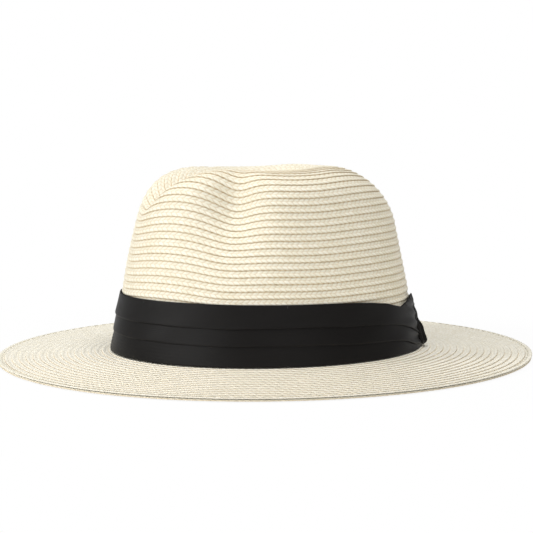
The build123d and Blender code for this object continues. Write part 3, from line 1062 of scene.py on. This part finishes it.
class STRAWHAT_OT_band(bpy.types.Operator):
    """Pleat the satin band round the crown, with its knot, loose end and tacks"""

    bl_idname = "straw_hat.band"
    bl_label = "Hatband"

    def execute(self, context):
        p = context.scene.straw_hat_cloth
        count = 520
        share = np.arange(count) / count * 2 * math.pi
        turns = KNOT_TURN + share + 0.55 * np.sin(share)
        lines = satin_lines(turns)
        band = cloth_ring("satin_band", turns, lines, p.satin_thickness, BAND_LOW[2])
        band.data.materials.append(satin())
        knot, wide, tall = cloth_patch("satin_knot", knot_grid(), 0.5)
        knot.data.materials.append(satin())
        tail, tail_wide, tail_long = cloth_patch("satin_tail", tail_grid(), 0.4)
        tail.data.materials.append(satin())
        for ob, node in ((band, "hatband"), (knot, "hatband_knot"), (tail, "hatband_tail")):
            join_hat(ob, "satin", node)
        black = thread_finish("Black thread", (0.02, 0.02, 0.02))
        turn = np.radians(np.arange(6) * 60.0 + 24.0) + FRONT_FACES
        up = BAND_HIGH[2] - BAND_LOW[2]
        z = BAND_HIGH[2] - 1.2 - fall(up, past_knot(turn))
        places = on_wall(turn, np.full(6, BAND_OUT + 0.95), z)
        lean = on_wall(turn, np.full(6, BAND_OUT + 0.95), z + 1) - places
        ob = stitch_points("band_tacks", places, lean)
        stitches(ob, 2.2, 0.4, black)
        join_hat(ob, "band_thread", "hatband_tacks")
        stiff = cloth_ring("backing_tape", turns, backing_lines(turns), 0.3, BAND_LOW[2])
        stiff.data.materials.append(tape_finish("Backing weave", (0.02, 0.02, 0.02)))
        join_hat(stiff, "backing", "hatband_backing")
        return {"FINISHED"}


class STRAWHAT_OT_inside(bpy.types.Operator):
    """Fit the sweatband, its stitches and the blank label inside the crown"""

    bl_idname = "straw_hat.inside"
    bl_label = "Sweatband"

    def execute(self, context):
        p = context.scene.straw_hat_cloth
        turns = even_oval(HALF_WIDTH, HALF_LENGTH, 420)
        lines = sweat_lines(turns)
        ob = cloth_ring("sweatband_tape", turns, lines, 0.5, SWEAT_LOW[2])
        cotton = tape_finish("Cotton tape", tuple(p.cotton))
        ob.data.materials.append(cotton)
        join_hat(ob, "sweatband", "sweatband")
        strip = float(np.linalg.norm(np.diff(lines[0], axis=0), axis=1).sum())
        count = 116
        z = np.full(count, SWEAT_LOW[2] + 6.0)
        t = even_oval(HALF_WIDTH - 5, HALF_LENGTH - 5, count)
        places = on_wall(t, np.full(count, -4.12), z)
        along = on_wall(t + 0.01, np.full(count, -4.12), z) - places
        row = stitch_points("sweatband_thread", places, along)
        thread = pale_thread()
        stitches(row, 3.4, 0.45, thread)
        join_hat(row, "thread", "sweatband_stitches")
        a = np.linspace(-1, 1, 24)[None, :]
        b = np.linspace(0, 1, 34)[:, None]
        half = 5.5 / (HALF_WIDTH - 6)
        out = -4.35 - 0.25 * np.sin(b * math.pi) - 0.35 * smooth((b - 0.86) / 0.14)
        z = SWEAT_LOW[2] + 0.35 * 32.0 + 17.0 * (1 - b)
        grid = on_wall(math.pi / 2 + a * half, out + 0 * a, z + 0 * a)
        label, wide, tall = cloth_patch("label_tape", grid, 0.3)
        label.data.materials.append(tape_finish("Label tape", (0.86, 0.86, 0.83), 0.45))
        join_hat(label, "label", "size_label")
        return {"FINISHED"}


class STRAWHAT_OT_stage(bpy.types.Operator):
    """Set the floor, the lamps and the camera"""

    bl_idname = "straw_hat.stage"
    bl_label = "Stage"

    def execute(self, context):
        floor = new_object("floor", [
            (-6000, -6000, -0.4), (6000, -6000, -0.4), (6000, 6000, -0.4), (-6000, 6000, -0.4)
        ], [(0, 1, 2, 3)])
        material, nodes = new_material("White floor")
        path = nodes.tree.nodes.new("ShaderNodeLightPath").outputs
        camera_ray, glossy_ray = (
            Field(nodes, path[k]) for k in ("Is Camera Ray", "Is Glossy Ray")
        )
        seen = camera_ray.math("MAXIMUM", camera_ray, glossy_ray)
        paper = nodes.add("ShaderNodeBsdfDiffuse", {}, {"Color": (0.9, 0.9, 0.9, 1)})
        white = nodes.add("ShaderNodeEmission", {}, {"Color": (1, 1, 1, 1), "Strength": 1.0})
        place = nodes.add("ShaderNodeTexCoord", out=3)
        away = nodes.add("ShaderNodeVectorMath", {"operation": "LENGTH"}, {0: place}, out=1)
        bare = seen * (0.88 + 0.12 * away.ramp(0.10, 0.30))
        both = nodes.add("ShaderNodeMixShader", {}, {0: bare, 1: paper, 2: white})
        nodes.add("ShaderNodeOutputMaterial", {}, {"Surface": both})
        floor.data.materials.append(material)

        world = bpy.data.worlds.new("Studio")
        context.scene.world = world
        world.use_nodes = True
        nodes = Nodes(world.node_tree)
        room = nodes.add("ShaderNodeBackground", {}, {"Color": (1, 1, 1, 1), "Strength": 0.32})
        white = nodes.add("ShaderNodeBackground", {}, {"Color": (1, 1, 1, 1), "Strength": 1.0})
        path = nodes.tree.nodes.new("ShaderNodeLightPath").outputs
        seen = Field(nodes, path["Is Camera Ray"])
        both = nodes.add("ShaderNodeMixShader", {}, {0: seen, 1: room, 2: white})
        nodes.add("ShaderNodeOutputWorld", {}, {"Surface": both})

        for name, place, power, size in (
            ("Key", (0.0, -1.85, 1.15), 16.0, 0.5),
            ("Overhead", (0.35, 0.1, 2.0), 24.0, 1.6),
            ("Side panel", (0.95, -1.35, 0.35), 6.0, 0.9),
            ("Front fill", (1.9, 0.2, 0.7), 3.0, 1.4),
        ):
            lamp = bpy.data.lights.new(name, "AREA")
            lamp.shape, lamp.size, lamp.energy = "DISK", size, power
            ob = bpy.data.objects.new(name, lamp)
            ob.location = place
            aim = Vector((0, 0, 0.05)) - Vector(place)
            ob.rotation_euler = aim.to_track_quat("-Z", "Y").to_euler()
            context.collection.objects.link(ob)

        camera = bpy.data.cameras.new("Camera")
        camera.lens, camera.sensor_width = 90.5, 36.0
        camera.shift_x = -0.0021
        camera.clip_end = 50.0
        ob = bpy.data.objects.new("Camera", camera)
        turn, away, height = math.radians(73.5), 0.88, 0.1522
        ob.location = (away * math.sin(turn), -away * math.cos(turn), height)
        ob.rotation_euler = (math.radians(90 - 6.15), 0, turn)
        context.collection.objects.link(ob)
        context.scene.camera = ob
        context.scene.view_settings.view_transform = "Standard"
        return {"FINISHED"}


class STRAWHAT_PT_panel(bpy.types.Panel):
    """Shows the hat's settings and the buttons that build its pieces in the sidebar"""

    bl_label = "Straw Hat"
    bl_idname = "STRAWHAT_PT_panel"
    bl_space_type = "VIEW_3D"
    bl_region_type = "UI"
    bl_category = "Straw Hat"

    def draw(self, context):
        for group in (context.scene.straw_hat_braid, context.scene.straw_hat_cloth):
            for name in group.bl_rna.properties.keys():
                if name not in {"rna_type", "name"}:
                    self.layout.prop(group, name)
        for operator in OPERATORS:
            self.layout.operator(operator.bl_idname)


GROUPS = (StrawHatBraid, StrawHatCloth)
OPERATORS = (
    STRAWHAT_OT_crown, STRAWHAT_OT_brim, STRAWHAT_OT_edge,
    STRAWHAT_OT_band, STRAWHAT_OT_inside, STRAWHAT_OT_stage,
)


def register():
    for item in (*GROUPS, *OPERATORS, STRAWHAT_PT_panel):
        bpy.utils.register_class(item)
    bpy.types.Scene.straw_hat_braid = bpy.props.PointerProperty(type=StrawHatBraid)
    bpy.types.Scene.straw_hat_cloth = bpy.props.PointerProperty(type=StrawHatCloth)


def unregister():
    del bpy.types.Scene.straw_hat_cloth
    del bpy.types.Scene.straw_hat_braid
    for item in reversed((*GROUPS, *OPERATORS, STRAWHAT_PT_panel)):
        bpy.utils.unregister_class(item)


def main():
    register()
    bpy.ops.straw_hat.crown()
    bpy.ops.straw_hat.brim()
    bpy.ops.straw_hat.edge()
    bpy.ops.straw_hat.band()
    bpy.ops.straw_hat.inside()
    bpy.ops.straw_hat.stage()


if __name__ == "__main__":
    main()
